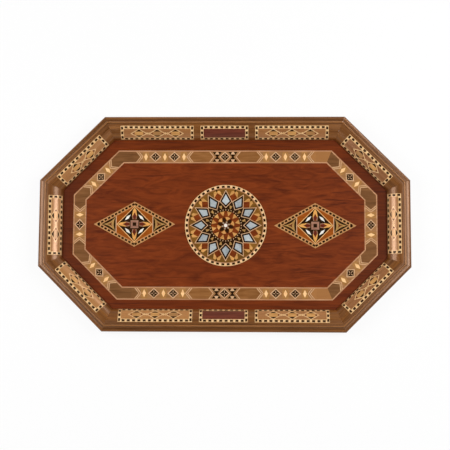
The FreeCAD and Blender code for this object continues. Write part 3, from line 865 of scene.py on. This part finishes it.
borderOutlines = {"pale": [], "core": [], "ground": [], "glass": []}
for side in eightSides(borderPlan["length"], borderPlan["width"], borderPlan["leg"], borderPlan["centre"]):
    isLong = side["name"] in ("front", "back")
    flat = {kind: [] for kind in borderOutlines}
    for x in borderPlan["longStars" if isLong else "shortStars"]:
        flat["pale"] += outlineStrips(
            diamond(x, mid, borderPlan["starEdge"], lastY - mid), borderPlan["starLine"])
        flat["pale"] += starPetals(x)
        flat["core"].append(diamond(x, mid, borderPlan["starCore"], borderPlan["starCore"]))
    for x in borderPlan["longGold" if isLong else "shortGold"]:
        flat["ground"] += goldFlanks(x)
    flat["pale"] += plaqueVees(borderPlan["longNose" if isLong else "shortNose"], 1, 2)
    if isLong:
        inner, outer = borderPlan["plaque"]
        flat["pale"] += plaqueVees(inner, 1, 1) + plaqueVees(outer, -1, 2)
        flat["glass"] += glassBits()
    for kind, outlines in flat.items():
        borderOutlines[kind] += [onSide(side, points) for points in outlines]
piece("border_pale_lines", inlay(borderOutlines["pale"]), "paleStringing", "string_wood")
piece("border_star_cores", inlay(borderOutlines["core"], borderPlan["coreLift"]), "kiteEbony", "ebony")
piece("border_gold_grounds", inlay(borderOutlines["ground"], borderPlan["groundLift"]),
      "goldGround", "plaque_wood")
piece("border_hourglass_bits", inlay(borderOutlines["glass"]), "paleStringing", "string_wood")

# fine inlay of the medallion: rings of blocks, then points turned about the middle
medallionPlan = {
    "rings": {
        "medallion_ring_checks": {"look": ("ebony", "ebony"), "count": 46, "radius": 42.5,
                                  "size": (2.3, 3.2)},
        "medallion_dots": {"look": ("paleStringing", "string_wood"), "count": 36, "radius": 17.0,
                           "size": (1.0, 1.0)}},
    "points": {
        "medallion_core_leaves": {"look": ("greyPearl", "pearl"), "count": 6, "turn": -15.0,
                                  "outline": [(0, 2.2), (0.9, 3.5), (0, 5.0), (-0.9, 3.5)]},
        "medallion_gold_beads": {"look": ("khakiStar", "gold_wood"), "count": 12, "turn": 15.0,
                                 "outline": [(0, 18.0), (1.3, 20.4), (-1.3, 20.4)]},
        "medallion_ebony_spots": {"look": ("ebony", "ebony"), "count": 12, "turn": 15.0,
                                  "outline": [(0, 37.7), (1.1, 40.3), (-1.1, 40.3)]}},
    "line": (40.5, 41.3), "lineSteps": 120}


def spun(finish, flat, count, turn, x, y):
    return runTree(spinTree, finish, {
        "Count": count, "Start": math.radians(turn), "Middle": inMetres(x, y, 0.0)}, flat)


for name, plan in medallionPlan["rings"].items():
    blocks = runTree(ringTree, plan["look"][0], {
        "Count": plan["count"], "Radius": plan["radius"] * mm,
        "Size": inMetres(*plan["size"], inlayPlan["thick"]),
        "Middle": inMetres(*medallionCentre, blockMiddle)})
    piece(name, blocks, *plan["look"])
for name, plan in medallionPlan["points"].items():
    points = spun(plan["look"][0], inlay([plan["outline"]]), plan["count"], plan["turn"], *medallionCentre)
    piece(name, points, *plan["look"])
low, high = medallionPlan["line"]
angles = arc(math.tau, medallionPlan["lineSteps"])
segments = [[(low * math.cos(a), low * math.sin(a)), (high * math.cos(a), high * math.sin(a)),
             (high * math.cos(b), high * math.sin(b)), (low * math.cos(b), low * math.sin(b))]
            for a, b in zip(angles, angles[1:])]
piece("medallion_inner_line", spun("stringing", inlay(segments), 1, 0.0, *medallionCentre),
      "stringing", "string_wood")

# fine inlay of the two lozenges
lozengePlan = {
    "centres": ((-97.9, -0.3), (98.9, -1.6)), "length": 44.5, "height": 24.7, "band": 4.1,
    "checks": 11, "pitch": 4.3, "slide": 1.1, "check": (2.8, 2.1), "core": 1.95,
    "tip": 26.3, "tipRays": ((3.6, 0), (1.0, 60), (2.9, 125), (1.0, 180), (2.9, 235), (1.0, 300)),
    "kite": [(0.0, 12.9), (-1.9, 9.2), (-1.2, 5.5), (1.2, 5.5), (1.9, 9.2)],
    "leg": [(1.9, 9.2), (2.6, 9.8), (2.2, 5.45), (1.2, 5.5)], "quarters": 4}
slope = math.atan2(lozengePlan["height"], lozengePlan["length"])
halfBand, slide = lozengePlan["band"] / 2, lozengePlan["slide"]
rowX = lozengePlan["length"] / 2 - halfBand * math.sin(slope) - slide * math.cos(slope)
rowY = lozengePlan["height"] / 2 - halfBand * math.cos(slope) + slide * math.sin(slope)
checks, tipCores, blackCores, kites, legs = [], [], [], [], []
for centre, rise in lozengePlan["centres"]:
    for wayX, wayY in ((-1, -1), (-1, 1), (1, -1), (1, 1)):
        checks.append(runTree(rowTree, "ebony", {
            "Count": lozengePlan["checks"], "Pitch": lozengePlan["pitch"] * mm,
            "Size": inMetres(*lozengePlan["check"], inlayPlan["thick"]), "Turn": -slope * wayX * wayY,
            "Middle": inMetres(centre + wayX * rowX, rise + wayY * rowY, blockMiddle)}))
    for way in (-1, 1):
        rays = [(r * math.cos(math.radians(a)), r * math.sin(math.radians(a)))
                for r, a in lozengePlan["tipRays"]]
        tipCores.append([(centre + way * (lozengePlan["tip"] + x), rise + y) for x, y in rays])
    core = lozengePlan["core"]
    blackCores.append(rectangle(centre - core, centre + core, rise - core, rise + core))
    kites.append(spun("darkRed", inlay([lozengePlan["kite"]]), lozengePlan["quarters"], 0.0, centre, rise))
    pair = [lozengePlan["leg"], flipped(lozengePlan["leg"])]
    legs.append(spun("roseSquare", inlay(pair), lozengePlan["quarters"], 0.0, centre, rise))
piece("lozenge_checks", joined(checks), "ebony", "ebony")
piece("lozenge_tip_cores", inlay(tipCores), "darkRed", "red_wood")
piece("lozenge_black_cores", inlay(blackCores), "ebony", "ebony")
piece("lozenge_red_kites", joined(kites), "darkRed", "red_wood")
piece("lozenge_rose_legs", joined(legs), "roseSquare", "rose_wood")

# finishes on the CAD pieces that stay
dress = {
    "fieldMahogany": ["field_veneer"], "marginMahogany": ["margin_veneer"], "boardPly": ["base_board"],
    "bradSteel": ["base_brads"], "splineBeech": ["mitre_splines"],
    "bandGround": ["border_long_bands", "border_corner_bands", "border_end_bands"],
    "stringing": ["border_outer_strings", "border_inner_strings"],
    "cornerPlaque": ["corner_plaques"], "sidePlaque": ["side_plaques"], "borderGold": ["border_diamonds"],
    "ebony": ["border_stars", "border_hourglasses", "medallion_ebony", "core_rhombs", "lozenge_tip_slivers",
              "square_grounds"],
    "ringPale": ["medallion_ring"], "paleStringing": ["kite_strings", "lozenge_cross_strings"],
    "kiteEbony": ["kite_frames"], "pearlKite": ["kite_pearls"],
    "starRed": ["medallion_squares", "star_red_points", "core_ground"],
    "starGold": ["medallion_wings", "star_gold_points", "core_wings"], "oliveGround": ["medallion_ground"],
    "khakiStar": ["medallion_triangles", "lozenge_tip_stars"],
    "boneWhite": ["medallion_hub", "square_slivers"],
    "lozengeBand": ["lozenge_bands"], "rustPanel": ["lozenge_rust_panels"], "squareLine": ["square_strings"],
    "lozengeGold": ["square_corner_kites"], "roseSquare": ["square_centres"]}
for finish, names in dress.items():
    for name in names:
        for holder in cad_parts[name].material_slots:
            holder.material = finishes[finish]
print("dressed nodes:", sum(len(names) for names in dress.values()))

# white bowl under and round the tray
floorPlan = {"flat": 2.8, "flatRings": 4, "curve": 0.7, "curveSteps": 12, "wall": 0.4, "round": 64,
             "drop": 0.0002, "white": 0.9, "glow": 0.9}
flat, curve = floorPlan["flat"], floorPlan["curve"]
path = [(flat * k / floorPlan["flatRings"], 0.0) for k in range(1, floorPlan["flatRings"] + 1)]
for a in arc(math.pi / 2, floorPlan["curveSteps"])[1:]:
    path.append((flat + curve * math.sin(a), curve * (1 - math.cos(a))))
path.append((flat + curve, curve + floorPlan["wall"]))
angles = arc(math.tau, floorPlan["round"])[:-1]
bowl = bmesh.new()
middle = bowl.verts.new((0, 0, -floorPlan["drop"]))
loops = [[bowl.verts.new((r * math.cos(a), r * math.sin(a), z - floorPlan["drop"])) for a in angles]
         for r, z in path]
for k in range(-1, len(angles) - 1):
    bowl.faces.new([middle, loops[0][k], loops[0][k + 1]])
    for inner, outer in zip(loops, loops[1:]):
        bowl.faces.new([inner[k], outer[k], outer[k + 1], inner[k + 1]])
floorMesh = finished(bowl, "floor")
floorMesh.shade_smooth()
floorFinish, start = newFinish("floorWhite")
rays = start.node("ShaderNodeLightPath")
seen = rays.other("Is Camera Ray") + rays.other("Is Glossy Ray") + rays.other("Is Transmission Ray")
matte = start.node("ShaderNodeBsdfDiffuse", {}, {"Color": (floorPlan["white"],) * 3 + (1.0,)})
glow = start.node("ShaderNodeEmission", {}, {"Color": white, "Strength": 1.0})
shader = start.node("ShaderNodeMixShader", {}, {0: seen * floorPlan["glow"], 1: matte, 2: glow})
start.node("ShaderNodeOutputMaterial", {}, {"Surface": shader})
floorMesh.materials.append(floorFinish)
floor = bpy.data.objects.new("floor", floorMesh)
scene.collection.objects.link(floor)

# studio light: a soft box to each side, a small window at the back right and weak fills
lightPlan = {
    "boxRight": {"at": (0.64, 0.02, 0.84), "size": (0.56, 0.54), "watts": 7.0},
    "boxLeft": {"at": (-0.70, 0.02, 0.78), "size": (0.62, 0.54), "watts": 6.5},
    "fillFront": {"at": (0.0, -0.80, 0.60), "size": (0.5, 1.0), "watts": 0.6},
    "fillBack": {"at": (0.0, 0.80, 0.75), "size": (0.5, 1.0), "watts": 0.7},
    "window": {"at": (0.62, 0.70, 0.56), "size": (0.24, 0.24), "watts": 1.6},
    "wash": {"at": (0.0, -0.4, 1.9), "size": (1.6, 1.6), "watts": 1.3}}
noGlints = ("wash",)  # lamps that don't show in the lacquer
skyStrength = 0.04
for name, plan in lightPlan.items():
    lamp = bpy.data.lights.new(name, "AREA")
    lamp.shape = "RECTANGLE"
    lamp.size, lamp.size_y = plan["size"]
    lamp.energy = plan["watts"]
    holder = bpy.data.objects.new(name, lamp)
    holder.location = plan["at"]
    x, y, z = plan["at"]
    holder.rotation_euler = (0.0, math.atan2(math.hypot(x, y), z), math.atan2(y, x))
    holder.visible_glossy = name not in noGlints
    holder.visible_camera = False
    scene.collection.objects.link(holder)
sky = bpy.data.worlds.new("studio")
sky.use_nodes = True
sky.node_tree.nodes["Background"].inputs["Color"].default_value = white
sky.node_tree.nodes["Background"].inputs["Strength"].default_value = skyStrength
scene.world = sky

# camera above the tray, as the photograph looks at it
cameraPlan = {"at": (0.03366, -0.11643, 1.1033), "turn": (6.0294, 1.6854, 0.2863), "lens": 80.87,
              "sensor": 36.0, "far": 50.0}
eye = bpy.data.cameras.new("eye")
eye.lens = cameraPlan["lens"]
eye.sensor_width = cameraPlan["sensor"]
eye.clip_end = cameraPlan["far"]
holder = bpy.data.objects.new("eye", eye)
holder.location = cameraPlan["at"]
holder.rotation_euler = [math.radians(part) for part in cameraPlan["turn"]]
scene.collection.objects.link(holder)
scene.camera = holder
scene.view_settings.view_transform = "Standard"
print("studio ready")
